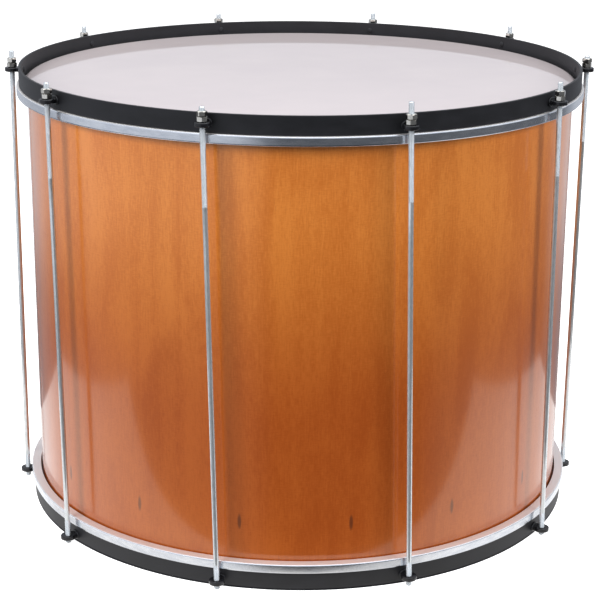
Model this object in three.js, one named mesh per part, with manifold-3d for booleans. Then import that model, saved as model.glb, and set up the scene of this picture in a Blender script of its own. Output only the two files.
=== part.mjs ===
// A surdo, the bass drum of a Brazilian samba group, 61 cm across the shell and 50 cm between its
// counterhoops. A varnished plywood shell carries a milky film head at each end. Ten zinc-plated
// tension rods join the black counterhoops: each is screwed into an ear of the bottom counterhoop,
// passes through an ear of the top one, and is held there by a nut and a lock nut. The bottom
// counterhoop sits turned a little from the top one, so the rods lean.
// Lengths are in millimetres, +Z is up, and the origin is under the drum's centre, on the floor.
import * as THREE from "three";
import { mergeVertices } from "three/addons/utils/BufferGeometryUtils.js";
import Module from "manifold-3d";

// The drum as a whole
const drumHeight = 500; // between the outer edges of the two counterhoops
const rodCount = 10;
const bottomTurnDegrees = 1.9; // how far the bottom end is turned from the top one
const fit = 0.3; // gap between pieces that touch

// Shell, with a glued ring inside each end that stiffens it
const shellRadius = 305; // outside
const shellWall = 6;
const bearingRound = 2; // width of the slope that eases the shell's outer edge
const ringWall = 5;
const ringHeight = 25;
const ringSetback = 1; // from the shell's edge

// Head: a film that lies over the shell's edge and turns down into the flesh hoop's channel
const filmThickness = 0.4;
const collarHeight = 5.8; // the film's playing face over the flesh hoop
const collarDrop = 4.8; // height of the curve that turns the film down
const skirtDepth = 4.5; // how deep the film reaches into the channel

// Flesh hoop: an aluminium ring with a channel that takes the film's edge
const hoopPlay = 1.7; // from the shell to the hoop
const hoopHeight = 10;
const lipWall = 1; // inner wall of the channel
const channelWidth = 1.8;
const channelFloor = 1.5;
const hoopProud = 2.7; // how far it stands out past the counterhoop
const hoopRound = 0.8; // slope on its two outer edges

// Counterhoop: a black steel band that presses on the flesh hoop
const rimHeight = 20;
const rimThickness = 3;
const rimSetback = 1.8; // from the channel to the band's inner face

// Ears: forged, each with a round eye for the rod, a shoulder that sits on the band, and a tenon
// that is riveted through the band
const eyeDiameter = 16.4;
const eyeSetback = 1.6; // from the band to the eye
const eyeThickness = 4.6;
const neckShare = 0.75; // the neck's width, as a share of the eye's diameter
const shoulderWidth = 14;
const shoulderHeight = 10;
const shoulderThickness = 1.8;
const earHoleDiameter = 7;
const tenonDiameter = 5;
const rivetDiameter = 7;
const rivetHeight = 1.2;
const rivetCrownShare = 0.6; // share of the rivet's diameter that stays on its crown

// Rods and nuts, size M6
const rodDiameter = 6;
const rodFootGap = 1.2; // from the floor to the rod's lower end
const rodChamfer = 0.7;
const rodProud = 8; // how far a usual rod stands above its lock nut
const rodProudShares = [1.5, 1.1, 0.4, 1.09, 0.98, 0.75, 0.93, 0.98, 0.75, 0.55];
const nutAcrossFlats = 10;
const nutHeight = 5;
const threadPlay = 0.4; // from a thread's crest to the hole it runs in

// The ears are riveted by hand, so their levels differ a little: shares of the band's height, from
// its outer edge to the middle of the eye
const topEarShares = [0.585, 0.51, 0.42, 0.46, 0.48, 0.46, 0.515, 0.505, 0.49, 0.465];
const bottomEarShares = [0.53, 0.415, 0.315, 0.44, 0.485, 0.45, 0.475, 0.48, 0.41, 0.475];

// Where each nut's flats stopped when it was tightened, as shares of a sixth of a turn
const nutTurnShares = [0.25, 0.6, 0.1, 0.8, 0.45, 0.3, 0.9, 0.05, 0.7, 0.5];
const lockNutTurnShares = [0.75, 0.2, 0.6, 0.35, 0.9, 0.1, 0.4, 0.65, 0.15, 0.95];

// Facets of the round pieces
const ringSegments = 7 * rodCount; // a whole number of facets from rod to rod
const rodSides = 12;
const collarSteps = 3;
const tenonSides = 6;
const weldDistance = 0.001; // vertices closer than this are one
const overrun = 2; // how far a cutter or a joined root reaches past the face it meets

// Radii and levels that follow from the sizes above. Levels of an end are counted from the drum's
// middle, outwards.
const lipRadius = shellRadius + hoopPlay;
const channelInner = lipRadius + lipWall;
const channelOuter = channelInner + channelWidth;
const rimInner = channelOuter + rimSetback;
const rimOuter = rimInner + rimThickness;
const hoopOuter = rimOuter + hoopProud;
const rodRadius = rodDiameter / 2;
const rodCircle = rimOuter + eyeSetback + eyeDiameter / 2;
const skirtRadius = (channelInner + channelOuter + filmThickness) / 2;

const halfDrum = drumHeight / 2;
const hoopTop = halfDrum - rimHeight;
const headLevel = hoopTop + collarHeight;
const shellTop = headLevel - filmThickness - fit;

// A facet's middle lies nearer the axis than its corners, and each ear sits on a facet's middle.
const facetShare = Math.cos(Math.PI / ringSegments);
const earSeat = rimOuter * facetShare + fit;
const rivetSeat = rimInner * facetShare - fit;

const finishes = {
  varnishedPly: { color: 0xb9743c, roughness: 0.25, metalness: 0 },
  barePly: { color: 0xc9a673, roughness: 0.8, metalness: 0 },
  milkyFilm: { color: 0xe0dce3, roughness: 0.2, metalness: 0 },
  aluminium: { color: 0xa9afb8, roughness: 0.35, metalness: 1 },
  blackPaint: { color: 0x222225, roughness: 0.4, metalness: 0.1 },
  zincPlate: { color: 0xc3ccd0, roughness: 0.35, metalness: 1 },
  nickelPlate: { color: 0x9c978c, roughness: 0.25, metalness: 1 },
};

const wasm = await Module();
wasm.setup();

// A named mesh with a material of its own.
function piece(name, geometry, finish) {
  const mesh = new THREE.Mesh(geometry, new THREE.MeshStandardMaterial(finish));
  mesh.name = name;
  return mesh;
}

// A closed geometry as a solid that can be joined and cut.
function solidOf(geometry) {
  const bare = geometry.clone();
  bare.deleteAttribute("normal");
  bare.deleteAttribute("uv");
  const merged = mergeVertices(bare, weldDistance);
  const mesh = new wasm.Mesh({
    numProp: 3,
    vertProperties: merged.attributes.position.array,
    triVerts: new Uint32Array(merged.index.array),
  });
  return new wasm.Manifold(mesh);
}

// The geometry of a solid, ready for a mesh.
function geometryOf(solid) {
  const mesh = solid.getMesh();
  const geometry = new THREE.BufferGeometry();
  geometry.setAttribute("position", new THREE.BufferAttribute(mesh.vertProperties, 3));
  geometry.setIndex(new THREE.BufferAttribute(mesh.triVerts, 1));
  geometry.computeVertexNormals();
  return geometry;
}

// A profile of [radius, level] points turned round the Z axis, with a facet's middle at each rod.
function turned(profile, segments) {
  const points = profile.map(([radius, level]) => new THREE.Vector2(radius, level));
  const start = rodAngle(0) - Math.PI / segments;
  return new THREE.LatheGeometry(points, segments, start).rotateX(Math.PI / 2);
}

// A closed ring: its profile runs round the section and back to its first point.
function ring(profile) {
  return turned([...profile, profile[0]], ringSegments);
}

// The points of a path moved sideways by a distance, with mitred corners.
function offsetPath(path, distance) {
  return path.map((point, i) => {
    const before = path[Math.max(i - 1, 0)];
    const after = path[Math.min(i + 1, path.length - 1)];
    const into = new THREE.Vector2(point[0] - before[0], point[1] - before[1]).normalize();
    const out = new THREE.Vector2(after[0] - point[0], after[1] - point[1]).normalize();
    const along = into.clone().add(out).normalize();
    const corner = into.length() * out.length() > 0 ? along.dot(out) : 1;
    const shift = distance / corner;
    return [point[0] + along.y * shift, point[1] - along.x * shift];
  });
}

// The angle of a top ear about the drum's axis, from the front (-Y) towards +X.
function rodAngle(k) {
  return ((k + 0.5) * 2 * Math.PI) / rodCount;
}

// The middle of an ear's hole.
function onRodCircle(angle, level) {
  return new THREE.Vector3(rodCircle * Math.sin(angle), -rodCircle * Math.cos(angle), level);
}

function shell() {
  const inside = shellRadius - shellWall;
  const easedTop = shellTop - bearingRound;
  const profile = [
    [inside, shellTop],
    [inside, -shellTop],
    [shellRadius - bearingRound, -shellTop],
    [shellRadius, -easedTop],
    [shellRadius, easedTop],
    [shellRadius - bearingRound, shellTop],
  ];
  return ring(profile);
}

function stiffeningRing() {
  const outside = shellRadius - shellWall - fit;
  const top = shellTop - ringSetback;
  const profile = [
    [outside, top],
    [outside - ringWall, top],
    [outside - ringWall, top - ringHeight],
    [outside, top - ringHeight],
  ];
  return ring(profile);
}

// The film is flat to the shell's eased edge, then a quarter of an ellipse turns it straight down.
function filmHead() {
  const start = shellRadius - bearingRound;
  const curve = new THREE.EllipseCurve(
    start,
    headLevel - collarDrop,
    skirtRadius - start,
    collarDrop,
    Math.PI / 2,
    0,
    true,
  );
  const collar = curve.getPoints(collarSteps).map((p) => [p.x, p.y]);
  const outside = [[0, headLevel], ...collar, [skirtRadius, hoopTop - skirtDepth]];
  const inside = offsetPath(outside, filmThickness);
  return turned([...inside, ...outside.reverse()], ringSegments);
}

function fleshHoop() {
  const bottom = hoopTop - hoopHeight;
  const floor = bottom + channelFloor;
  const profile = [
    [lipRadius, hoopTop],
    [lipRadius, bottom],
    [hoopOuter - hoopRound, bottom],
    [hoopOuter, bottom + hoopRound],
    [hoopOuter, hoopTop - hoopRound],
    [hoopOuter - hoopRound, hoopTop],
    [channelOuter, hoopTop],
    [channelOuter, floor],
    [channelInner, floor],
    [channelInner, hoopTop],
  ];
  return ring(profile);
}

// The band stands on the flesh hoop, and each ear's tenon passes through a hole in it. The shares
// give the level of each hole.
function counterhoop(earShares) {
  const bottom = hoopTop + fit;
  const profile = [
    [rimInner, halfDrum],
    [rimInner, bottom],
    [rimOuter, bottom],
    [rimOuter, halfDrum],
  ];
  const holeRadius = tenonDiameter / 2 + fit;
  const holeLength = rimThickness + 2 * overrun;
  let band = solidOf(ring(profile));
  for (let k = 0; k < rodCount; k++) {
    const drill = new THREE.CylinderGeometry(holeRadius, holeRadius, holeLength, tenonSides);
    drill.rotateZ(Math.PI / 2);
    drill.translate(rimInner + rimThickness / 2, 0, halfDrum - rimHeight * earShares[k]);
    band = band.subtract(solidOf(drill.rotateZ(rodAngle(k) - Math.PI / 2)));
  }
  return geometryOf(band);
}

// An ear, with the rod's axis on its origin and +X away from the drum. The eye's arc ends where it
// meets the sides of the neck.
function ear(holeDiameter) {
  const eyeRadius = eyeDiameter / 2;
  const halfNeck = eyeRadius * neckShare;
  const arcEnd = Math.PI - Math.asin(neckShare);
  const root = earSeat - rodCircle;
  const outline = new THREE.Shape();
  outline.moveTo(root, -halfNeck);
  outline.absarc(0, 0, eyeRadius, -arcEnd, arcEnd, false);
  outline.lineTo(root, halfNeck);
  outline.closePath();
  const hole = new THREE.Path();
  hole.absarc(0, 0, holeDiameter / 2, 0, 2 * Math.PI, true);
  outline.holes.push(hole);
  const eye = new THREE.ExtrudeGeometry(outline, {
    depth: eyeThickness,
    bevelEnabled: false,
    curveSegments: rodSides / 2,
  });
  eye.translate(0, 0, -eyeThickness / 2);

  const shoulder = new THREE.CylinderGeometry(
    shoulderHeight / 2,
    shoulderHeight / 2,
    shoulderThickness,
    rodSides,
  );
  shoulder.rotateZ(Math.PI / 2);
  shoulder.scale(1, shoulderWidth / shoulderHeight, 1);
  shoulder.translate(root + shoulderThickness / 2, 0, 0);

  // the tenon runs from inside the neck to inside the rivet's head
  const crown = rivetSeat - rivetHeight;
  const tenonEnd = rivetSeat - rivetHeight / 2;
  const tenonLength = earSeat + overrun - tenonEnd;
  const tenon = new THREE.CylinderGeometry(
    tenonDiameter / 2,
    tenonDiameter / 2,
    tenonLength,
    tenonSides,
  );
  tenon.rotateZ(Math.PI / 2);
  tenon.translate(tenonEnd + tenonLength / 2 - rodCircle, 0, 0);
  const rivet = new THREE.CylinderGeometry(
    (rivetDiameter * rivetCrownShare) / 2,
    rivetDiameter / 2,
    rivetHeight,
    tenonSides,
  );
  rivet.rotateZ(Math.PI / 2);
  rivet.translate(crown + rivetHeight / 2 - rodCircle, 0, 0);
  const forged = solidOf(eye).add(solidOf(shoulder));
  return geometryOf(forged.add(solidOf(tenon)).add(solidOf(rivet)));
}

function rod(length) {
  const profile = [
    [0, 0],
    [rodRadius - rodChamfer, 0],
    [rodRadius, rodChamfer],
    [rodRadius, length - rodChamfer],
    [rodRadius - rodChamfer, length],
    [0, length],
  ];
  return turned(profile, rodSides);
}

function nut() {
  const corner = nutAcrossFlats / Math.sqrt(3);
  const outline = new THREE.Shape();
  for (let i = 0; i < 6; i++) {
    const angle = (i * Math.PI) / 3;
    const x = corner * Math.cos(angle);
    const y = corner * Math.sin(angle);
    if (i === 0) outline.moveTo(x, y);
    else outline.lineTo(x, y);
  }
  outline.closePath();
  const hole = new THREE.Path();
  hole.absarc(0, 0, rodRadius + threadPlay, 0, 2 * Math.PI, true);
  outline.holes.push(hole);
  return new THREE.ExtrudeGeometry(outline, {
    depth: nutHeight,
    bevelEnabled: false,
    curveSegments: rodSides / 2,
  });
}

// The rings of one end, counted outwards from the drum's middle.
function drumEnd(side, earShares) {
  const end = new THREE.Group();
  end.position.z = halfDrum;
  end.add(
    piece(side + "_stiffening_ring", stiffeningRing(), finishes.barePly),
    piece(side + "_head_film", filmHead(), finishes.milkyFilm),
    piece(side + "_flesh_hoop", fleshHoop(), finishes.aluminium),
    piece(side + "_counterhoop", counterhoop(earShares), finishes.blackPaint),
  );
  return end;
}

// An ear on its rim, its eye away from the drum.
function seatedEar(name, holeDiameter, angle, level) {
  const mesh = piece(name, ear(holeDiameter), finishes.blackPaint);
  mesh.position.copy(onRodCircle(angle, level));
  mesh.rotation.z = angle - Math.PI / 2;
  return mesh;
}

// A nut on its rod, at a height along the rod and with its flats turned by an angle.
function seatedNut(name, height, turn) {
  const mesh = piece(name, nut(), finishes.nickelPlate);
  mesh.position.z = height;
  mesh.rotation.z = turn;
  return mesh;
}

const bottomTurn = THREE.MathUtils.degToRad(bottomTurnDegrees);
const surdo = new THREE.Group();
const body = piece("shell", shell(), finishes.varnishedPly);
body.position.z = halfDrum;
const topEnd = drumEnd("top", topEarShares);
// turning the bottom end over also reverses the order of its ears
const bottomEnd = drumEnd("bottom", bottomEarShares.toReversed());
bottomEnd.rotation.y = Math.PI;
const turnedEnd = new THREE.Group();
turnedEnd.rotation.z = bottomTurn;
turnedEnd.add(bottomEnd);
surdo.add(body, topEnd, turnedEnd);

// The tension hardware, one set at each rod. Heights are counted along the rod from its lower ear.
const up = new THREE.Vector3(0, 0, 1);
const sixthTurn = Math.PI / 3;
for (let k = 0; k < rodCount; k++) {
  const number = k + 1;
  const angle = rodAngle(k);
  const topEarLevel = drumHeight - rimHeight * topEarShares[k];
  const bottomEarLevel = rimHeight * bottomEarShares[k];
  const lower = onRodCircle(angle + bottomTurn, bottomEarLevel);
  const upper = onRodCircle(angle, topEarLevel);
  const along = upper.clone().sub(lower).normalize();
  const foot = (rodFootGap - bottomEarLevel) / along.z;
  const nutLevel = topEarLevel + eyeThickness / 2 + fit;
  const nutHeightOnRod = (nutLevel - bottomEarLevel) / along.z;
  const lockNutHeight = nutHeightOnRod + nutHeight + fit;
  const tip = lockNutHeight + nutHeight + rodProud * rodProudShares[k];

  const axis = new THREE.Group();
  axis.position.copy(lower);
  axis.quaternion.setFromUnitVectors(up, along);
  const bar = piece("tension_rod_" + number, rod(tip - foot), finishes.zincPlate);
  bar.position.z = foot;
  axis.add(
    bar,
    seatedNut("tension_nut_" + number, nutHeightOnRod, nutTurnShares[k] * sixthTurn),
    seatedNut("lock_nut_" + number, lockNutHeight, lockNutTurnShares[k] * sixthTurn),
  );
  const tapped = rodDiameter + 2 * threadPlay;
  surdo.add(
    axis,
    seatedEar("top_ear_" + number, earHoleDiameter, angle, topEarLevel),
    seatedEar("bottom_ear_" + number, tapped, angle + bottomTurn, bottomEarLevel),
  );
}

export default surdo;
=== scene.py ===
# %% [markdown]
# # A surdo, dressed for its portrait
# A surdo is the big bass drum of a samba group. This one has a varnished plywood shell, a milky film
# head at each end, and black steel rims that ten long rods pull together. The solids of its frame
# already give every size and say what moves. This lesson gives them the surfaces that the eye sees:
# round where the solids have facets, threaded where they are plain, and finished like wood, film,
# paint and plated steel.

# %% Load the frame
import bpy
import bmesh
import math
import numpy as np
from mathutils import Matrix, Vector


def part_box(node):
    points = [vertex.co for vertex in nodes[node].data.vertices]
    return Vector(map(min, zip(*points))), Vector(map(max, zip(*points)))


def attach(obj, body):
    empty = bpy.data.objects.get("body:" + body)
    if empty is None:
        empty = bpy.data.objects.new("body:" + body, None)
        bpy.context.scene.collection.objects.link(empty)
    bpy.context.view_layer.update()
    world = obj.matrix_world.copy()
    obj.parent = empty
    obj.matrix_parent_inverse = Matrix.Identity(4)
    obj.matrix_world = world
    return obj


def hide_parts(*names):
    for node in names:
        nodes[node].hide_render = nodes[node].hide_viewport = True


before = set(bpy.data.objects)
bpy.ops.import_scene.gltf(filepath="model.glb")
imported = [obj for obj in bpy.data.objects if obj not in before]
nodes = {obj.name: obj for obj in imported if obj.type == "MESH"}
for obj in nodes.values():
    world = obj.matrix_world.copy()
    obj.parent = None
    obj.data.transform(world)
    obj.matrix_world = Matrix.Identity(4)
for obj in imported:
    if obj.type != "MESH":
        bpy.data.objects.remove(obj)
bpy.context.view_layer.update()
MM = 0.001

# %% [markdown]
# ## Measuring the frame
# A tape measure comes first. The radii and levels could be typed in again here, but then a changed
# drum would need both files changed. Reading them from the corner points of the solids keeps every
# surface on its solid. A ring's corners lie on its true circle, so their distance from the axis is
# the ring's real radius.

# %% A tape measure
# How many decimals of a metre are kept in a point and in a size, and how close a level has to be.
POINT_DECIMALS, SIZE_DECIMALS = 6, 5
SAME_LEVEL = 0.01 * MM


def corners(node):
    """The corner points of a solid, each once, as rows of x, y, z."""
    mesh = nodes[node].data
    flat = np.empty(3 * len(mesh.vertices))
    mesh.vertices.foreach_get("co", flat)
    return np.unique(np.round(flat.reshape(-1, 3), POINT_DECIMALS), axis=0)


def from_axis(points):
    """How far points are from the drum's axis: the root of x squared plus y squared."""
    return np.hypot(points[:, 0], points[:, 1])


def ring_sizes(node):
    """The different radii and the different levels of a ring's corners, both from low to high."""
    points = corners(node)
    radii = np.unique(np.round(from_axis(points), SIZE_DECIMALS))
    levels = np.unique(np.round(points[:, 2], SIZE_DECIMALS))
    return radii, levels


def edge_radii(node, level):
    """The inner and outer radius of a ring at one of its levels."""
    points = corners(node)
    radii = from_axis(points[np.abs(points[:, 2] - level) < SAME_LEVEL])
    return radii.min(), radii.max()


drum_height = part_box("top_counterhoop")[1].z
shell_radii, shell_levels = ring_sizes("shell")
rim_inside, rim_outside = edge_radii("top_counterhoop", drum_height)
rod_count = sum(name.startswith("tension_rod") for name in nodes)
print("drum", round(drum_height, 4), "m high, shell", round(2 * shell_radii[-1], 4), "m across,",
      rod_count, "rods")

# %% [markdown]
# ## Skins from grids
# Every new surface here is a grid: rows go one way over the piece, columns the other way. Blender
# could turn a profile with its Screw modifier, but a grid of points worked out with numpy is exact,
# quick, and can also carry a map of metres for the wood grain. Where the grid's edges meet, the
# points are welded, so seams and poles are closed, and then the faces are turned outwards.


# %% The grid maker
def grid_faces(rows, columns):
    """The corner numbers of each square between neighbouring rows and columns."""
    index = np.arange(rows * columns).reshape(rows, columns)
    square = [index[:-1, :-1], index[1:, :-1], index[1:, 1:], index[:-1, 1:]]
    return np.stack(square, axis=-1).reshape(-1, 4)


def skin(name, patches, finishes, maps=None, sharp_over=38):
    """One mesh from several grids of points. Each patch is a grid with the number of its finish.

    A map gives each point of a patch its place on the flat surface. Edges that turn by more
    degrees than sharp_over are shaded sharp.
    """
    points, faces, numbers, count = [], [], [], 0
    for grid, number in patches:
        squares = grid_faces(*grid.shape[:2])
        points.append(grid.reshape(-1, 3))
        faces.append(squares + count)
        numbers.append(np.full(len(squares), number))
        count += grid.shape[0] * grid.shape[1]
    faces = np.concatenate(faces)
    mesh = bpy.data.meshes.new(name)
    mesh.from_pydata(np.concatenate(points).tolist(), [], faces.tolist())
    for finish in finishes:
        mesh.materials.append(finish.material)
    mesh.polygons.foreach_set("material_index", np.concatenate(numbers).astype(np.int32))
    if maps is not None:
        layer = mesh.uv_layers.new(name="metres")
        flat = np.concatenate([m.reshape(-1, 2) for m in maps])
        layer.data.foreach_set("uv", flat[faces.reshape(-1)].reshape(-1).astype(np.float32))
    weld(mesh)
    mesh.polygons.foreach_set("use_smooth", np.ones(len(mesh.polygons), dtype=bool))
    mesh.set_sharp_from_angle(angle=math.radians(sharp_over))
    piece = bpy.data.objects.new(name, mesh)
    bpy.context.scene.collection.objects.link(piece)
    return piece


def weld(mesh, reach=0.002 * MM):
    """Points that lie on each other become one, and the faces of each closed skin turn outwards."""
    work = bmesh.new()
    work.from_mesh(mesh)
    bmesh.ops.remove_doubles(work, verts=work.verts, dist=reach)
    bmesh.ops.recalc_face_normals(work, faces=work.faces)
    work.to_mesh(mesh)
    work.free()


def seat(piece, body, solid):
    """The piece rides on its body and takes the place of its solid, which is hidden."""
    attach(piece, body)
    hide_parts(solid)
    return piece


print("a grid of 4 x 5 points has", len(grid_faces(4, 5)), "faces")

# %% [markdown]
# ## Wires and finishes
# A finish is a tree of shader nodes. Placing them by hand, one by one, hides the sum that they work
# out. So a small class stands for the value on a wire: adding or multiplying two wires adds the Math
# node that does it, and the finish reads like the formula that it is. Colours and vectors have nodes
# of their own, because a Math node would turn them grey. A recipe holds the nodes, and a finish is
# the recipe of one material.


# %% A wire
class Wire:
    """A value on its way through a recipe. A sum on it adds the node that works it out."""

    def __init__(self, recipe, socket):
        self.recipe = recipe
        self.socket = socket

    def sum(self, operation, first, second):
        """The Math node of an operation, with two values or wires going in."""
        return self.recipe.node("ShaderNodeMath", {"operation": operation}, {0: first, 1: second})

    def __add__(self, other):
        return self.sum("ADD", self, other)

    def __radd__(self, other):
        return self.sum("ADD", other, self)

    def __sub__(self, other):
        return self.sum("SUBTRACT", self, other)

    def __rsub__(self, other):
        return self.sum("SUBTRACT", other, self)

    def __mul__(self, other):
        return self.sum("MULTIPLY", self, other)

    def __rmul__(self, other):
        return self.sum("MULTIPLY", other, self)

    def __truediv__(self, other):
        return self.sum("DIVIDE", self, other)

    def __rtruediv__(self, other):
        return self.sum("DIVIDE", other, self)

    def __pow__(self, other):
        return self.sum("POWER", self, other)

    def __mod__(self, other):
        return self.sum("FLOORED_MODULO", self, other)


print("a sum on a wire:", Wire.sum.__doc__)


# %% A recipe
class Recipe:
    """A tree of nodes, with a plain word for each kind of step that the finishes need."""

    def __init__(self, tree):
        self.tree = tree

    def node(self, kind, settings=None, sockets=None, output=0):
        """Any node: its settings first, then the values or wires that go into its sockets."""
        made = self.tree.nodes.new(kind)
        for key, value in (settings or {}).items():
            setattr(made, key, value)
        for key, value in (sockets or {}).items():
            if isinstance(value, Wire):
                self.tree.links.new(value.socket, made.inputs[key])
            else:
                made.inputs[key].default_value = value
        return Wire(self, made.outputs[output])

    def place(self):
        """Where a point is on the drum, in metres."""
        return self.node("ShaderNodeTexCoord", output="Object")

    def split(self, vector):
        """The three parts of a vector."""
        kind = "ShaderNodeSeparateXYZ"
        return [self.node(kind, sockets={"Vector": vector}, output=part) for part in "XYZ"]

    def join(self, x, y, z):
        """A vector from its three parts."""
        return self.node("ShaderNodeCombineXYZ", sockets={"X": x, "Y": y, "Z": z})

    def greater(self, first, second):
        """The larger of two values."""
        return self.node("ShaderNodeMath", {"operation": "MAXIMUM"}, {0: first, 1: second})

    def between(self, wire, low, high):
        """0 below the low value, 1 above the high one, and a smooth rise from one to the other."""
        sockets = {"Value": wire, "From Min": low, "From Max": high}
        return self.node("ShaderNodeMapRange", {"interpolation_type": "SMOOTHSTEP"}, sockets)

    def noise(self, vector, per_metre=None, detail=3, roughness=0.6, distortion=0.0):
        """Soft random values between 0 and 1, with about so many hills per metre along x, y and z.

        Without per_metre, there is one hill for each unit of the vector.
        """
        if per_metre:
            vector = self.node("ShaderNodeVectorMath", {"operation": "MULTIPLY"},
                               {0: vector, 1: per_metre})
        sockets = {"Vector": vector, "Scale": 1.0, "Detail": detail, "Roughness": roughness,
                   "Distortion": distortion}
        return self.node("ShaderNodeTexNoise", {"noise_dimensions": "3D"}, sockets)

    def mix(self, share, first, second):
        """Two colours mixed by a share. The Mix node takes colours at 6 and 7 and gives one at 2."""
        first, second = [c if isinstance(c, Wire) else (*c, 1.0) for c in (first, second)]
        sockets = {0: share, 6: first, 7: second}
        return self.node("ShaderNodeMix", {"data_type": "RGBA"}, sockets, output=2)


print("a recipe can make:", [word for word in vars(Recipe) if not word.startswith("_")])


# %% A finish
class Finish(Recipe):
    """A material. Numbers that are the same all over it are set on the shader's own sockets."""

    def __init__(self, name, constants):
        self.material = bpy.data.materials.new(name)
        self.material.use_nodes = True
        super().__init__(self.material.node_tree)
        self.shader = self.tree.nodes["Principled BSDF"]
        for socket, value in constants.items():
            self.shader.inputs[socket].default_value = value

    def feed(self, socket, wire):
        """What varies over the surface goes into a socket of the shader."""
        self.tree.links.new(wire.socket, self.shader.inputs[socket])

    def relief(self, height, depth):
        """Shading as if the surface rose by a height between 0 and 1 times a depth in metres."""
        sockets = {"Height": height, "Distance": depth, "Strength": 1.0}
        self.feed("Normal", self.node("ShaderNodeBump", sockets=sockets))


print("a finish can also:", [word for word in vars(Finish) if not word.startswith("_")])

# %% [markdown]
# ## Varnished plywood
# The shell's outer ply is rotary cut: the log turns against a knife and the veneer peels off like
# paper from a roll. So the grain stands upright, in wavy light and dark streaks, with pores some
# millimetres long, and one small knot comes round again at each turn of the log. The colour is
# darker and redder towards the foot of the shell. This is partly the wood's own tone and partly
# painted shade, which stands for more light falling on the top than low down. A picture of wood could
# give all this, but noise stretched along the grain has no edges and no fixed size. The grain lies
# under a hard clear varnish, which is the shader's coat, and the stain in the wood gives its own
# broad sheen an amber tint. The map gives metres round the shell and metres up it, so each size
# below is a real one.


# %% Figure and knots
LOG_TURN = 116.4 * MM


def wood_figure(finish, uv):
    """How light the wood is: clouds, streaks, fibres and the ripple across them, added by weight.

    The weights add up to more than 1, for contrast, so the last number brings the middle of the sum
    back to a half.
    """
    cloud = finish.noise(uv, (17, 5.5, 1), detail=4, roughness=0.55, distortion=0.8)
    streak = finish.noise(uv, (75, 2.6, 1), detail=4, distortion=0.4)
    fibre = finish.noise(uv, (620, 80, 1))
    ripple = finish.noise(uv, (190, 700, 1), detail=2, roughness=0.5)
    figure = 0.40 * cloud + 0.24 * streak + 0.30 * fibre + 0.20 * ripple - 0.07
    return finish.between(figure, 0.38, 0.62)


def wood_knots(finish, round_it, up_it):
    """1 in small upright ellipses, one for each turn of the log, fading to 0 at their edges."""
    first_knot, level = 49.5 * MM, 71 * MM
    half_wide, half_tall = 2.6 * MM, 10.5 * MM
    half_turn = LOG_TURN / 2
    across = ((round_it + (half_turn - first_knot)) % LOG_TURN - half_turn) / half_wide
    along = (up_it - level) / half_tall
    return 1 - finish.between(across * across + along * along, 0.15, 1.0)


print("the log's core was", round(LOG_TURN / math.pi / MM), "mm across where the outer ply was peeled")


# %% The varnish
def shell_varnish():
    """Light and dark wood, each made paler towards the top as painted light, mixed by the figure, with
    pores and knots.
    """
    finish = Finish("Shell varnish", {
        "Coat Weight": 1.0, "Coat Roughness": 0.12, "Coat IOR": 1.55,
        "Specular IOR Level": 0.8, "Specular Tint": (1.0, 0.66, 0.22, 1.0),
    })
    # Each wood colour has a shaded copy for the foot and a lit copy for the top. This is painted shade
    # and painted light, with some of the wood's own tone in it.
    shaded_foot_dark, shaded_foot_light = (0.345, 0.063, 0.0075), (0.44, 0.097, 0.014)
    lit_top_dark, lit_top_light = (0.55, 0.150, 0.020), (0.69, 0.225, 0.039)
    pore_brown, knot_brown = (0.15, 0.03, 0.006), (0.09, 0.022, 0.010)
    uv = finish.node("ShaderNodeUVMap", {"uv_map": "metres"})
    round_it, up_it, _ = finish.split(uv)
    # Painted light: between these levels, each colour turns from its shaded foot copy to its lit top
    # copy.
    painted_light_upward = finish.between(up_it, 170 * MM, 420 * MM)
    dark_wood = finish.mix(painted_light_upward, shaded_foot_dark, lit_top_dark)
    light_wood = finish.mix(painted_light_upward, shaded_foot_light, lit_top_light)
    colour = finish.mix(wood_figure(finish, uv), dark_wood, light_wood)
    pore = finish.between(finish.noise(uv, (1300, 110, 1), detail=1, roughness=0.5), 0.60, 0.76)
    colour = finish.mix(0.16 * pore, colour, pore_brown)
    colour = finish.mix(0.75 * wood_knots(finish, round_it, up_it), colour, knot_brown)
    finish.feed("Base Color", colour)
    finish.feed("Roughness", 0.32 + 0.12 * pore)
    finish.relief(1 - pore, 0.02 * MM)
    return finish


varnish = shell_varnish()
print(varnish.material.name, "has", len(varnish.tree.nodes), "nodes")

# %% [markdown]
# ## Bare plywood
# Inside, the shell and its stiffening rings are unfinished. The same peeled veneer shows, paler and
# matt, with dark lines of glue on the cut edges. The rings keep their solids, so this finish reads
# the place on the drum and works out the distance from the axis, in plies of 1.2 mm.


# %% Bare ply
def bare_ply():
    """Pale streaks along z, and a line of glue where the radius is near a whole number of plies."""
    finish = Finish("Bare plywood", {"Specular IOR Level": 0.25})
    dark_wood, light_wood, glue_brown = (0.50, 0.34, 0.17), (0.66, 0.48, 0.27), (0.22, 0.12, 0.05)
    ply = 1.2 * MM
    place = finish.place()
    x, y, _ = finish.split(place)
    streak = finish.noise(place, (140, 140, 5), detail=4, distortion=0.3)
    fibre = finish.noise(place, (900, 900, 30), detail=2, roughness=0.5)
    colour = finish.mix(finish.between(streak, 0.35, 0.65), dark_wood, light_wood)
    radius = (x * x + y * y) ** 0.5
    glue = finish.between((radius / ply) % 1.0, 0.86, 1.0)
    finish.feed("Base Color", finish.mix(0.35 * glue, colour, glue_brown))
    finish.feed("Roughness", 0.68 + 0.2 * fibre)
    finish.relief(fibre, 0.05 * MM)
    return finish


plain_ply = bare_ply()
print(plain_ply.material.name, "has", len(plain_ply.tree.nodes), "nodes")

# %% [markdown]
# ## Milky film
# The heads are polyester film, milky through and through and glossy on top. It mirrors the back rim
# and the rod tips quite sharply, so its roughness is very low. What breaks the flatness is faint:
# haze where hands and beaters have rubbed, and cloudiness in the film itself.


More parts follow.
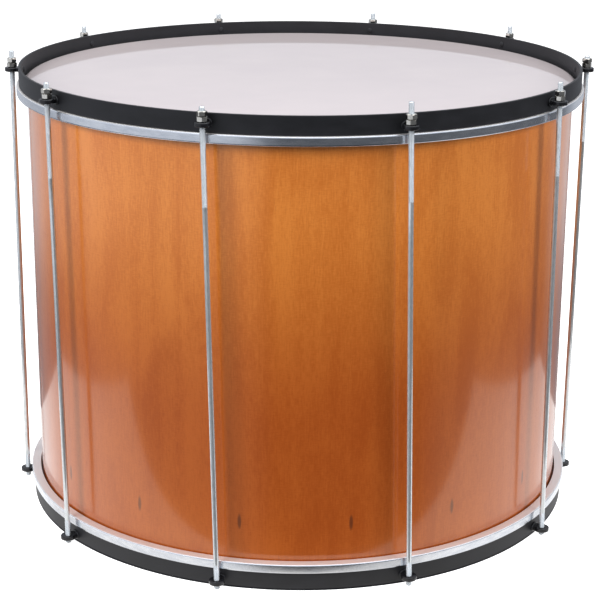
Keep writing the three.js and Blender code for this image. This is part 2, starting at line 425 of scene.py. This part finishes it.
# %% The film
def milky_film():
    """Two near whites mixed by wide clouds and fine specks. The clouds also dull the gloss a little."""
    finish = Finish("Milky film", {"IOR": 1.50})
    dull_white, bright_white = (0.70, 0.625, 0.645), (0.74, 0.66, 0.675)
    place = finish.place()
    cloud = finish.noise(place, (9, 9, 9))
    speck = finish.noise(place, (700, 700, 700), detail=1, roughness=0.5)
    tone = finish.between(0.7 * cloud + 0.3 * speck, 0.3, 0.7)
    finish.feed("Base Color", finish.mix(tone, dull_white, bright_white))
    finish.feed("Roughness", 0.035 + 0.05 * finish.between(cloud, 0.45, 0.75))
    return finish


film = milky_film()
print(film.material.name, "has", len(film.tree.nodes), "nodes")

# %% [markdown]
# ## The metals
# The flesh hoops are drawn aluminium: the die leaves fine lines that run round the ring, so the
# noise is stretched along the ring and tight across it. Dust settles where a hoop faces up, which
# makes it paler, rougher and less of a mirror there. The rods are zinc plated, bluish and streaked
# along their length by the drawing of the bar. Their zinc has dulled in the air, so it isn't fully
# metallic. The nuts are nickel plated, warmer and smoother. The life of all three comes mostly from
# what they mirror.


# %% Aluminium
def flesh_hoop_aluminium():
    """Lines: noise that is quick in z plus the radius and slow in x and y. Dust: where z faces up."""
    finish = Finish("Flesh hoop aluminium", {})
    dull_metal, bright_metal, pale_dust = (0.66, 0.69, 0.74), (0.80, 0.82, 0.85), (0.90, 0.88, 0.87)
    lines_per_metre, waves_per_metre = 3500, 30
    place = finish.place()
    x, y, z = finish.split(place)
    across = (z + (x * x + y * y) ** 0.5) * lines_per_metre
    line = finish.noise(finish.join(x * waves_per_metre, y * waves_per_metre, across))
    dull = finish.noise(place, (60, 60, 200))
    facing = finish.split(finish.node("ShaderNodeNewGeometry", output="Normal"))
    dust = finish.between(facing[2], 0.5, 0.95)
    clean = finish.mix(finish.between(dull, 0.3, 0.75), dull_metal, bright_metal)
    finish.feed("Base Color", finish.mix(dust, clean, pale_dust))
    finish.feed("Metallic", 1 - 0.35 * dust)
    finish.feed("Roughness", 0.13 + 0.10 * line + 0.06 * dull + 0.26 * dust)
    finish.relief(line, 0.012 * MM)
    return finish


aluminium = flesh_hoop_aluminium()
print(aluminium.material.name, "has", len(aluminium.tree.nodes), "nodes")


# %% Zinc and nickel
def zinc_plate():
    """Two bluish greys mixed by small spangles, and a roughness drawn out along the rod."""
    finish = Finish("Zinc plate", {"Metallic": 0.72})
    dull_zinc, bright_zinc = (0.66, 0.70, 0.72), (0.80, 0.83, 0.85)
    place = finish.place()
    drawn = finish.noise(place, (1500, 1500, 30))
    spangle = finish.noise(place, (500, 500, 160), detail=2, roughness=0.5)
    finish.feed("Base Color", finish.mix(finish.between(spangle, 0.3, 0.7), dull_zinc, bright_zinc))
    finish.feed("Roughness", 0.08 + 0.12 * drawn)
    finish.relief(drawn, 0.01 * MM)
    return finish


def nickel_plate():
    """Two warm greys and a low roughness, both from one small cloud."""
    finish = Finish("Nickel plate", {"Metallic": 1.0})
    dull_nickel, bright_nickel = (0.58, 0.55, 0.49), (0.78, 0.75, 0.68)
    cloud = finish.noise(finish.place(), (600, 600, 600))
    finish.feed("Base Color", finish.mix(finish.between(cloud, 0.3, 0.7), dull_nickel, bright_nickel))
    finish.feed("Roughness", 0.05 + 0.09 * cloud)
    return finish


zinc, nickel = zinc_plate(), nickel_plate()
print("plated metals:", [metal.material.name for metal in (zinc, nickel)])

# %% [markdown]
# ## Black paint
# The rims and ears are steel under a thin, semi-gloss black. Real paint is never pure black, and its
# gloss is uneven, with small soft ripples from the spray. The ears stand out past the band and get
# rubbed by hands and nuts, so they shine more than the band does.


# %% The paint
def black_paint():
    """Two blacks mixed by rubbed clouds, with specks of dust. Past the band's face it is smoother."""
    finish = Finish("Black paint", {"Specular IOR Level": 0.5})
    deep_black, worn_black, speck_grey = (0.005, 0.005, 0.006), (0.010, 0.010, 0.012), (0.09, 0.09, 0.10)
    ear_starts, ear_holds = rim_outside + 0.5 * MM, rim_outside + 1.7 * MM
    place = finish.place()
    x, y, _ = finish.split(place)
    ripple = finish.noise(place, (260, 260, 260), detail=2, roughness=0.5)
    rubbed = finish.noise(place, (35, 35, 90), detail=4, roughness=0.65)
    speck = finish.noise(place, (2200, 2200, 2200), detail=1, roughness=0.5)
    colour = finish.mix(finish.between(rubbed, 0.3, 0.75), deep_black, worn_black)
    finish.feed("Base Color", finish.mix(0.25 * finish.between(speck, 0.70, 0.80), colour, speck_grey))
    on_ear = finish.between((x * x + y * y) ** 0.5, ear_starts, ear_holds)
    finish.feed("Roughness", 0.44 + 0.16 * rubbed - 0.26 * on_ear)
    finish.relief(ripple, 0.03 * MM)
    return finish


paint = black_paint()
print(paint.material.name, "has", len(paint.tree.nodes), "nodes")

# %% [markdown]
# ## Profiles
# Nearly everything round here is a profile carried round the axis. A sharp corner in a profile looks
# drawn, not made, because every real edge is rounded and catches a line of light. So corners get a
# true arc, and each flat gets a point just past the arc, which keeps the shading of the flat itself
# level.


# %% Rounded corners and turning
def rounded(outline, radii, steps=4, guard_share=0.3):
    """A closed outline with each corner replaced by an arc of its radius that touches both sides.

    Each arc starts and ends at its radius over the tangent of half the corner's angle, counted from
    the corner, and between them it blends its ends by two sines. A guard point stands on each side,
    a little past the arc.
    """
    outline = np.array(outline, dtype=float)
    path = []
    for i, (corner, radius) in enumerate(zip(outline, radii)):
        back = outline[i - 1] - corner
        ahead = outline[(i + 1) % len(outline)] - corner
        back, ahead = back / np.hypot(*back), ahead / np.hypot(*ahead)
        half = math.acos(np.clip(back @ ahead, -1, 1)) / 2
        reach = radius / math.tan(half)
        middle = corner + (back + ahead) / np.hypot(*(back + ahead)) * radius / math.sin(half)
        first, last = corner + back * reach - middle, corner + ahead * reach - middle
        sweep = math.pi - 2 * half
        share = np.linspace(0, 1, steps + 1)[:, None]
        arc = (np.sin((1 - share) * sweep) * first + np.sin(share * sweep) * last) / math.sin(sweep)
        past = reach + guard_share * radius
        path += [corner + back * past, *(middle + arc), corner + ahead * past]
    return np.array(path)


def turned(path, count=360):
    """A profile of radius and level carried round the axis, starting and ending at the back.

    At each angle, x is the radius times its sine and y is minus the radius times its cosine.
    """
    angle = math.pi + np.linspace(0, 2 * math.pi, count + 1)[:, None]
    radius, level = path[:, 0], path[:, 1]
    return np.stack([radius * np.sin(angle), -radius * np.cos(angle),
                     np.broadcast_to(level, (count + 1, len(path)))], axis=-1)


def ring(path):
    """A closed profile, turned: a ring."""
    return turned(np.vstack([path, path[:1]]))


def at_end(path, side):
    """A profile of the top end as it is, or at the same distance from the bottom."""
    level = path[:, 1] if side == "top" else drum_height - path[:, 1]
    return np.column_stack([path[:, 0], level])


rounded_square = rounded([(0, 0), (1, 0), (1, 1), (0, 1)], [0.1] * 4)
print("a square with rounded corners takes", len(rounded_square), "points")

# %% [markdown]
# ## The shell
# The shell is a tube of bent plywood with its outer edges eased, so that the film can turn down over
# them without a crease. It is made as two patches that meet at the edges: the varnished outside with
# a map in metres, and the bare inside.


# %% The shell
def shell_piece():
    """The tube's section, turned. The varnish goes from the lower outer arc to the end of the upper.

    Each corner of the section has the same number of points: a guard, its arc and a guard.
    """
    inside, outside = shell_radii[0], shell_radii[-1]
    low, high = shell_levels[0], shell_levels[-1]
    ease, nip = 2.4 * MM, 0.5 * MM
    outline = [(inside, low), (outside, low), (outside, high), (inside, high)]
    path = rounded(outline, [nip, ease, ease, nip], steps=6)
    each = len(path) // len(outline)
    first, last = each + 1, 3 * each - 2
    varnished_path = path[first:last + 1]
    bare_path = np.vstack([path[last:], path[:first + 1]])
    patches = [(turned(varnished_path), 0), (turned(bare_path), 1)]
    maps = [metre_map(varnished_path, outside), metre_map(bare_path, inside)]
    return skin("surdo_shell", patches, [varnish, plain_ply], maps)


def metre_map(path, radius, count=360):
    """Metres round the tube, which are 0 at the front, and the level as metres up it."""
    arc = np.linspace(-math.pi, math.pi, count + 1)[:, None] * radius
    level = np.broadcast_to(path[:, 1], (count + 1, len(path)))
    return np.stack([np.broadcast_to(arc, level.shape), level], axis=-1)


shell = seat(shell_piece(), "drum_shell", "shell")
for name in ("top_stiffening_ring", "bottom_stiffening_ring"):
    nodes[name].data.materials.clear()
    nodes[name].data.materials.append(plain_ply.material)
print("shell faces:", len(shell.data.polygons))

# %% [markdown]
# ## The heads
# A head is one sheet of film: flat to the shell's edge, then bent through a quarter of an ellipse and
# down into the channel of its flesh hoop. The film is thin, so its inner face is the outer face moved
# along its normals by the film's thickness. The centre is a pole, where the grid's points are welded
# to one.


# %% The heads
def film_path():
    """The outer face: flat, a quarter ellipse, then straight down. The inner face follows it back."""
    points = corners("top_head_film")
    skirt = from_axis(points).max()
    level, foot = points[:, 2].max(), points[:, 2].min()
    on_axis = points[from_axis(points) < 0.1 * MM, 2]
    thickness = on_axis.max() - on_axis.min()
    bend_starts, drop = shell_radii[1], 4.8 * MM
    bend = np.linspace(0, math.pi / 2, 13)
    collar = np.column_stack([bend_starts + (skirt - bend_starts) * np.sin(bend),
                              level - drop * (1 - np.cos(bend))])
    flat_radii = np.array([0, 100 * MM, 200 * MM, 290 * MM, bend_starts - 1 * MM])
    flat = np.column_stack([flat_radii, np.full(len(flat_radii), level)])
    down = np.array([[skirt, level - drop - 0.5 * MM], [skirt, foot]])
    outer = np.vstack([flat, collar, down])
    along = np.gradient(outer, axis=0)
    normal = np.column_stack([along[:, 1], -along[:, 0]])
    normal /= np.hypot(*normal.T)[:, None]
    inner = outer + normal * thickness
    inner[0, 0] = 0
    inner[-1, 1] = foot
    return np.vstack([outer, inner[::-1]])


film_outline = film_path()
for side in ("top", "bottom"):
    head = skin(f"{side}_head", [(turned(at_end(film_outline, side), count=288), 0)], [film])
    seat(head, "drum_shell", f"{side}_head_film")
print("head film is", round(2 * film_outline[:, 0].max() / MM, 1), "mm across at its skirt")

# %% [markdown]
# ## Flesh hoops and counterhoops
# The flesh hoop is a drawn channel that grips the film's edge, and it shows as a bright ring next to
# the black counterhoop. The counterhoop is a plain steel band on edge. Both are closed profiles, with
# rounded edges that catch the light.


# %% The hoops
def flesh_hoop_path():
    """The section of the channel: a lip, a groove for the film, and a thick outer wall."""
    radii, levels = ring_sizes("top_flesh_hoop")
    lip, channel_in, channel_out, outside = radii[0], radii[1], radii[2], radii[-1]
    low, floor, high = levels[0], levels[2], levels[-1]
    outline = [(lip, low), (outside, low), (outside, high), (channel_out, high),
               (channel_out, floor), (channel_in, floor), (channel_in, high), (lip, high)]
    nip, low_round, high_round = 0.3 * MM, 1.4 * MM, 1.5 * MM
    return rounded(outline, [nip, low_round, high_round, nip, nip, nip, nip, nip])


def counterhoop_path():
    """The section of the band: a tall thin rectangle with rounded corners."""
    low, high = [corner.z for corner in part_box("top_counterhoop")]
    outline = [(rim_inside, low), (rim_outside, low), (rim_outside, high), (rim_inside, high)]
    low_round, high_round = 0.4 * MM, 0.5 * MM
    return rounded(outline, [low_round, low_round, high_round, high_round])


FRAMES = {"top": "top_frame", "bottom": "bottom_frame"}
for side, body in FRAMES.items():
    for part, path, finish, slot in (
        ("flesh_hoop", flesh_hoop_path(), aluminium, "flesh_hoop_aluminium"),
        ("counterhoop", counterhoop_path(), paint, "black_paint"),
    ):
        piece = skin(f"{side}_{part}_ring", [(ring(at_end(path, side)), 0)], [finish])
        seat(piece, body, f"{side}_{part}")
print("counterhoop", round((rim_outside - rim_inside) / MM, 2), "mm thick")

# %% [markdown]
# ## Ears
# An ear is forged in one piece: a round eye for the rod, a shoulder that sits on the band, and a
# tenon that goes through the band and is hammered into a low dome on the other side. An eye with a
# hole is a ring too, only its outer edge isn't round all the way: seen from the middle of the hole,
# the edge is a circle outwards and the straight sides of the neck back to the band. The section that
# runs round the hole has soft edges. The shoulder and the rivet are turned about the tenon, and the
# shoulder is then stretched sideways. All the sizes that the solid has are read from its corners.


# %% Reading an ear
class EarPlan:
    """What the solid of an ear says: its direction, its level and the sizes of its features.

    Out, side and up are its corners' distances from the axis, from its middle line and from the
    table. The eye's tip gives the level, and each other size is the reach of one feature's corners.
    """

    def __init__(self, node):
        points = corners(node)
        rough = math.atan2(*points.mean(axis=0)[1::-1])
        turn = (np.arctan2(points[:, 1], points[:, 0]) - rough + math.pi) % (2 * math.pi) - math.pi
        direction = rough + (turn.max() + turn.min()) / 2
        self.outward = np.array([math.cos(direction), math.sin(direction), 0])
        self.sideways = np.array([-self.outward[1], self.outward[0], 0])
        out, side, up = points @ self.outward, np.abs(points @ self.sideways), points[:, 2]
        facet_slack, slack, face_slack = 0.5 * MM, 0.2 * MM, 0.1 * MM
        self.eye = side.max()
        self.hole_at = out.max() - self.eye
        self.hole = np.hypot(out - self.hole_at, side).min()
        tip = up[out > self.hole_at]
        self.level, self.thick = (tip.max() + tip.min()) / 2, (tip.max() - tip.min()) / 2
        outside = out > rim_outside - facet_slack
        over = outside & (np.abs(up - self.level) > self.thick + slack)
        self.face, self.shoulder = out[over].max(), np.abs(up[over] - self.level).max()
        self.stretch = side[outside & (out < self.face + face_slack)].max() / self.shoulder
        beyond = (out > self.face + slack) & (out < self.hole_at - self.hole)
        self.neck = side[beyond & (out < out[beyond].min() + slack)].max()
        self.crown = out.min()

    def put(self, out, side, up):
        """Distances from the hole's middle, as points of the drum."""
        upward = np.array([0, 0, 1.0])
        return ((out[..., None] + self.hole_at) * self.outward + side[..., None] * self.sideways
                + (up[..., None] + self.level) * upward)


plans = {(side, k): EarPlan(f"{side}_ear_{k}") for side in FRAMES for k in range(1, rod_count + 1)}
first_plan = plans["top", 1]
print("eye", round(2 * first_plan.eye / MM, 2), "mm across, hole", round(2 * first_plan.hole / MM, 2),
      "mm across")


# %% The eye
def eye_grid(plan):
    """For each angle about the hole, the section from the hole's edge to the eye's edge and back.

    The edge's distance is the eye's radius, or on the neck the smaller of two: the neck's half width
    over the sine, and the way back to the band over the cosine.
    """
    root = plan.hole_at - rim_outside
    arc_end = math.pi - math.asin(plan.neck / plan.eye)
    corner = math.pi - math.atan2(plan.neck, root)
    full_turn = 2 * math.pi
    arc_points, neck_points, root_points = 45, 5, 7
    angle = np.concatenate([
        np.linspace(-arc_end, arc_end, arc_points)[:-1],
        np.linspace(arc_end, corner, neck_points)[:-1],
        np.linspace(corner, full_turn - corner, root_points)[:-1],
        np.linspace(full_turn - corner, full_turn - arc_end, neck_points),
    ])
    cosine, sine = np.cos(angle), np.sin(angle)
    tiny, inside_solid = 1e-6, 0.05 * MM
    neck_side = plan.neck / np.maximum(np.abs(sine), tiny)
    neck_edge = np.minimum(neck_side, root / np.maximum(-cosine, tiny))
    edge = np.where(cosine < math.cos(arc_end), neck_edge, plan.eye - inside_solid)[:, None]
    low, high = -plan.thick, plan.thick
    nip, soft = 0.35 * MM, 1.0 * MM
    section = rounded([(0, low), (1, low), (1, high), (0, high)], [nip, soft, soft, nip])
    across, up = np.vstack([section, section[:1]]).T
    radius = np.where(across < 0.5, plan.hole + across, edge - (1 - across))
    return plan.put(radius * cosine[:, None], radius * sine[:, None], np.broadcast_to(up, radius.shape))


print("an eye takes", eye_grid(first_plan).shape[:2], "points")


# %% The shoulder and the rivet
def about_tenon(plan, profile, stretch=1.0, count=48):
    """A profile of distance along the tenon and radius, turned about it and stretched sideways."""
    turn = np.linspace(0, 2 * math.pi, count + 1)[:, None]
    out, radius = profile[:, 0] - plan.hole_at, profile[:, 1]
    side, up = stretch * radius * np.sin(turn), radius * np.cos(turn)
    return plan.put(np.broadcast_to(out, side.shape), side, up)


def shoulder_grid(plan):
    """A disc with one soft edge. The rounding runs on a mirrored outline, of which half is kept."""
    foot, face, reach = rim_outside, plan.face, plan.shoulder
    nip, soft = 0.2 * MM, 0.8 * MM
    path = rounded([(foot, -reach), (foot, reach), (face, reach), (face, -reach)],
                   [nip, nip, soft, soft])
    half = path[path[:, 1] > 0]
    return about_tenon(plan, np.vstack([[foot, 0], half, [face, 0]]), plan.stretch)


def rivet_grid(plan):
    """A dome: its rise falls from the crown to the rim's inner face as a quarter of an ellipse."""
    reach, foot = 3.5 * MM, rim_inside + 0.3 * MM
    fall = np.linspace(0, math.pi / 2, 9)
    dome = np.column_stack([foot - (foot - plan.crown) * np.cos(fall), reach * np.sin(fall)])
    return about_tenon(plan, np.vstack([dome, [foot, 0]]), count=24)


for (side, k), plan in plans.items():
    patches = [(grid(plan), 0) for grid in (eye_grid, shoulder_grid, rivet_grid)]
    piece = skin(f"{side}_forged_ear_{k}", patches, [paint])
    seat(piece, FRAMES[side], f"{side}_ear_{k}")
print(len(plans), "ears of", len(piece.data.polygons), "faces")

# %% [markdown]
# ## Tension rods
# Each rod is drawn steel with a thread rolled on both ends. Rolling presses the grooves in and the
# crests out, so the plain shank is a little thinner than the thread. A thread is one long spiral: the
# radius rises and falls once for each millimetre up the rod, and that wave starts a little later for
# each step round it. The upper thread is long, because all the tuning happens there. The rods lean
# slightly, because the bottom rim sits turned from the top one, so each is built on its own axis.


# %% A rod's axis
class RodAxis:
    """The line through a rod: its foot, its length, its direction and two directions across it."""

    def __init__(self, node):
        points = corners(node)
        upper = points[:, 2] > points[:, 2].mean()
        low, high = points[~upper].mean(axis=0), points[upper].mean(axis=0)
        self.up = (high - low) / np.linalg.norm(high - low)
        along = (points - low) @ self.up
        self.foot = low + self.up * along.min()
        self.length = along.max() - along.min()
        self.radius = self.distance(points).max()
        outward = np.array([low[0], low[1], 0])
        outward -= self.up * (outward @ self.up)
        self.out = outward / np.linalg.norm(outward)
        self.side = np.cross(self.up, self.out)

    def distance(self, points):
        """How far points are from the line: what is left of their arm after its part along it."""
        arm = points - self.foot
        return np.linalg.norm(arm - np.outer(arm @ self.up, self.up), axis=1)

    def put(self, radius, angle, height):
        """Points at a radius and angle about the line and a height along it."""
        return (self.foot + (radius * np.cos(angle))[..., None] * self.out
                + (radius * np.sin(angle))[..., None] * self.side + height[..., None] * self.up)


rods = {k: RodAxis(f"tension_rod_{k}") for k in range(1, rod_count + 1)}
print("rods lean", round(math.degrees(math.acos(rods[1].up[2])), 2), "degrees")


# %% The rods
def rod_grid(axis, sides=16, samples=6):
    """Radius = shank, or in a thread root + depth times a wave of the height and the angle.

    The wave is a triangle cut flat at both ends. Rows of heights are close together in the threads,
    with so many samples for each turn, and far apart on the shank.
    """
    pitch, thread_depth, shank_below = 1.0 * MM, 0.45 * MM, 0.2 * MM
    upper, lower, runout, chamfer = 98 * MM, 26 * MM, 1.5 * MM, 0.7 * MM
    tip_share = 0.74
    step = pitch / samples
    upper_starts = axis.length - upper
    height = np.concatenate([
        [0, 0],
        np.arange(chamfer, lower + runout, step),
        np.linspace(lower + runout + step, upper_starts - runout, 12),
        np.arange(upper_starts - runout + step, axis.length - chamfer, step),
        [axis.length, axis.length],
    ])
    angle = np.linspace(0, 2 * math.pi, sides + 1)[:, None]
    wave = 1 - np.abs(2 * ((height / pitch - angle / (2 * math.pi)) % 1.0) - 1)
    ridge = np.clip(1.5 * wave - 0.2, 0, 1)
    into_thread = np.maximum(lower - height, height - upper_starts)
    threaded = np.clip(1 + into_thread / runout, 0, 1)
    thread_radius = axis.radius - thread_depth * (1 - ridge)
    radius = (1 - threaded) * (axis.radius - shank_below) + threaded * thread_radius
    cap = np.ones(len(height))
    cap[[0, -1]] = 0
    cap[[1, -2]] = tip_share
    return axis.put(radius * cap, angle, np.broadcast_to(height, radius.shape))


for k, rod in rods.items():
    piece = skin(f"threaded_rod_{k}", [(rod_grid(rod), 0)], [zinc], sharp_over=60)
    seat(piece, "bottom_frame", f"tension_rod_{k}")
print("faces of a rod:", len(piece.data.polygons))

# %% [markdown]
# ## Nuts
# Two nuts hold each rod, the upper one locking the lower. A hexagon nut is cut from a bar and then
# chamfered by a cone, which leaves a curve on each flat. That curve comes by itself here: the
# distance of the wall from the axis changes round the nut, and the cone's height follows it.


# %% The nuts
def hexagon_turn(axis, points):
    """The angle of one corner of a nut: the mean of all six, which repeat every sixth of a turn."""
    distance = axis.distance(points)
    arm = points[distance > 0.9 * distance.max()] - axis.foot
    angle = np.arctan2(arm @ axis.side, arm @ axis.out)
    return np.angle(np.exp(6j * angle).mean()) / 6


def nut_grid(axis, node, sides=72):
    """The wall's distance is half the width over the cosine of the angle from the flat's middle.

    The section goes from the bore over the lower face, up the wall and back over the upper face.
    Where the wall is farther out than the face, the cone drops by that distance times its slope.
    """
    points = corners(node)
    height = (points - axis.foot) @ axis.up
    low, high = height.min(), height.max()
    bore, corner = axis.distance(points).min(), axis.distance(points).max()
    half_width, corner_share, face_share = corner * math.cos(math.pi / 6), 0.97, 0.9
    lead, cone = 0.5 * MM, math.radians(30)
    turn = np.linspace(0, 2 * math.pi, sides + 1)[:, None]
    from_flat = turn % (math.pi / 3) - math.pi / 6
    wall = np.minimum(half_width / np.cos(from_flat), corner_share * corner)
    face = face_share * half_width
    drop = (wall - face) * math.tan(cone)
    rows = [
        (bore + lead, low), (face, low), (wall, low + drop), (wall, high - drop), (face, high),
        (bore + lead, high), (bore, high - lead), (bore, low + lead), (bore + lead, low),
    ]
    radius = np.concatenate([np.broadcast_to(r, turn.shape) for r, _ in rows], axis=1)
    level = np.concatenate([np.broadcast_to(h, turn.shape) for _, h in rows], axis=1)
    return axis.put(radius, hexagon_turn(axis, points) + turn, level)


for k, rod in rods.items():
    for kind in ("tension_nut", "lock_nut"):
        node = f"{kind}_{k}"
        piece = skin(f"chamfered_{node}", [(nut_grid(rod, node), 0)], [nickel], sharp_over=20)
        seat(piece, f"nut_set_{k}", node)
print("nut faces:", len(piece.data.polygons))

# %% [markdown]
# ## Camera
# The camera stands where the photograph was taken from: just under two metres from the drum's axis,
# a third of a metre above its head and looking down. Its place came from fitting the ellipses of the
# rims and the lines of the rods. The three directions of the camera are worked out from its angles
# and become the columns of its matrix.


# %% The camera
def place_camera():
    """Angles: round the drum, down, aside of the drum's axis, and a small roll about the view."""
    distance, height = 1.924, 0.821
    round_it, down, aside, roll = [math.radians(a) for a in (1.24, 17.405, 0.043, 0.41)]
    level_ahead = Vector((math.sin(aside), math.cos(aside), 0))
    ahead = math.cos(down) * level_ahead - math.sin(down) * Vector((0, 0, 1))
    level = Vector((math.cos(aside), -math.sin(aside), 0))
    above = level.cross(ahead)
    right = math.cos(roll) * level + math.sin(roll) * above
    up = -math.sin(roll) * level + math.cos(roll) * above
    swing = Matrix.Rotation(-round_it, 3, "Z")
    axes = Matrix((swing @ right, swing @ up, swing @ -ahead)).transposed().to_4x4()
    spot = swing @ Vector((0, -distance, height))
    data = bpy.data.cameras.new("Studio camera")
    data.sensor_width = 36
    data.lens = 102.9
    camera = bpy.data.objects.new("Studio camera", data)
    camera.matrix_world = Matrix.Translation(spot) @ axes
    bpy.context.scene.collection.objects.link(camera)
    bpy.context.scene.camera = camera
    return camera


camera = place_camera()
print("camera at", [round(v, 3) for v in camera.location])

# %% [markdown]
# ## Floor
# The drum stands on a white table in a white studio. The floor is a large sheet that glows as bright
# as the world behind it, so no horizon shows. It is kept out of the gloss and the bounced light,
# which the lamps and the world give.


# %% The floor
def studio_floor(far=6.0):
    """A square, twice as wide as far, that faces up. Faint clouds vary its two near whites."""
    finish = Finish("Pale floor", {"Roughness": 0.6, "Emission Strength": 1.0})
    grain = finish.noise(finish.place(), (3, 3, 3), detail=2, roughness=0.5)
    finish.feed("Base Color", finish.mix(grain, (0.80, 0.80, 0.80), (0.82, 0.82, 0.82)))
    finish.feed("Emission Color", finish.mix(grain, (0.99, 0.99, 0.99), (1.0, 1.0, 1.0)))
    grid = np.array([[(-far, -far, 0), (-far, far, 0)], [(far, -far, 0), (far, far, 0)]])
    floor = skin("studio_floor", [(grid, 0)], [finish])
    if floor.data.polygons[0].normal.z < 0:
        floor.data.flip_normals()
    floor.visible_glossy = False
    floor.visible_diffuse = False
    return floor


floor = studio_floor()
print("floor", [round(v, 1) for v in floor.dimensions])

# %% [markdown]
# ## Lamps
# Varnish is a mirror at a slant: from this height the upright shell mirrors only what lies low round
# it. The bright table shows in the lower corners of the shell, and a darker room shows above that.
# So the table's shine is a lamp of its own, a glowing panel under the drum that reaches out on both
# sides and ends just ahead of it. The camera doesn't see it, but the gloss does. The overhead lamp
# shows in the nuts and the rounded edges. The two large lamps in front give the even light and stay
# out of the gloss.


# %% The lamps
def soft_lamp(name, spot, aim, size, power, mirrored=False):
    """A rectangular lamp at a spot, facing the point that it aims at."""
    data = bpy.data.lights.new(name, "AREA")
    data.shape = "RECTANGLE"
    data.size, data.size_y = size
    data.energy = power
    lamp = bpy.data.objects.new(name, data)
    lamp.location = spot
    lamp.rotation_euler = (Vector(aim) - Vector(spot)).to_track_quat("-Z", "Y").to_euler()
    lamp.visible_camera = False
    lamp.visible_glossy = mirrored
    bpy.context.scene.collection.objects.link(lamp)
    return lamp


table = soft_lamp("Table glow", spot=(0, -0.08, 0.002), aim=(0, -0.08, 1.0), size=(1.47, 0.56),
                  power=2.15, mirrored=True)
table.data.color = (1.0, 0.97, 0.94)
soft_lamp("Overhead", spot=(0, 0.2, 2.3), aim=(0, 0.1, 0.4), size=(2.6, 2.2), power=22, mirrored=True)
shell_middle = (0, 0, 0.3)
soft_lamp("Left key", spot=(-2.00, -1.66, 1.6), aim=shell_middle, size=(1.4, 1.4), power=76)
soft_lamp("Right fill", spot=(2.18, -1.42, 1.5), aim=shell_middle, size=(1.4, 1.4), power=60)

# %% [markdown]
# ## The room
# The world is three things at once. For the camera it is white. For matt surfaces it is an even dim
# light. For the gloss it is a room, told by the direction in which a ray leaves: each part of it is
# a smooth step, and the brightest part wins. Low down, the room is dark ahead of the drum and
# brighter to the left, to the right and behind, so a soft bright band stands at each side of the
# shell, as it does in a studio with open sides.


# %% An empty world
world = bpy.data.worlds.new("Studio")
world.use_nodes = True
world.node_tree.nodes.clear()
room = Recipe(world.node_tree)
print("nodes in the empty world:", len(world.node_tree.nodes))


# %% The room in the gloss
def low_room(room, behind, z, left, right):
    """Below the horizon: the brightest of a dim front, the left, the right and the back."""
    just_below = room.between(z, -0.30, -0.23)
    dim_front = 0.03 + 0.13 * room.between(z, -0.30, -0.20)
    shaded = room.between(behind, 0.1, 0.4) * (0.5 - 0.22 * just_below)
    low_left = left * (0.28 + 0.70 * just_below) * (1 - shaded)
    low_right = right * (0.32 - 0.22 * room.between(z, -0.38, -0.32))
    deep = room.between(0 - z, 0.35, 0.42)
    low_back = room.between(behind, 0.50, 0.80) * (0.25 + 0.30 * deep + 0.35 * just_below)
    return room.greater(room.greater(dim_front, low_left), room.greater(low_right, low_back))


def high_room(room, behind, z, left, right):
    """Above the horizon: walls with a lit part ahead and a lit ceiling, or the sides if brighter."""
    lit_ahead = room.between(0 - behind, 0.0, 0.6) * room.between(z, 0.05, 0.35)
    walls = 0.43 + 0.12 * room.between(behind, -0.6, 0.4) + 0.35 * room.between(z, 0.6, 0.9)
    return room.greater(walls + 0.6 * lit_ahead, room.greater(left, right))


def room_glow(room):
    """How bright the room is in a direction: its low part below the horizon, its high part above.

    In a world, the Generated coordinates are the direction. Aside and behind are its level part,
    scaled to a length of 1. The left side is counted from 10 degrees ahead of straight left.
    """
    x, y, z = room.split(room.node("ShaderNodeTexCoord", output="Generated"))
    level_part = (x * x + y * y) ** 0.5
    aside, behind = x / level_part, y / level_part
    left = 0.8 * room.between(0 - 0.985 * aside - 0.174 * behind, 0.26, 0.66)
    right = room.between(aside, 0.70, 0.92)
    raised = room.between(z, -0.06, 0.20)
    low = low_room(room, behind, z, left, right)
    high = high_room(room, behind, z, left, right)
    return low * (1 - raised) + high * raised


glow = room_glow(room)
print("the room takes", len(world.node_tree.nodes), "nodes")


# %% The world
def lit_world(room, glow):
    """Even and dim for matt rays, the room's glow for glossy rays, and then white for camera rays."""
    matt_light, white, cool_white = 0.22, (1.0, 1.0, 1.0), (0.95, 1.0, 1.10)
    is_camera = room.node("ShaderNodeLightPath", output="Is Camera Ray")
    is_gloss = room.node("ShaderNodeLightPath", output="Is Glossy Ray")
    level = matt_light * (1 - is_gloss) + glow * is_gloss
    level = level * (1 - is_camera) + is_camera
    tint = room.mix(is_gloss, white, cool_white)
    light = room.node("ShaderNodeBackground", sockets={"Color": tint, "Strength": level})
    ending = room.tree.nodes.new("ShaderNodeOutputWorld")
    room.tree.links.new(light.socket, ending.inputs["Surface"])


lit_world(room, glow)
bpy.context.scene.world = world
bpy.context.scene.view_settings.view_transform = "Standard"
print("the world takes", len(world.node_tree.nodes), "nodes in all")
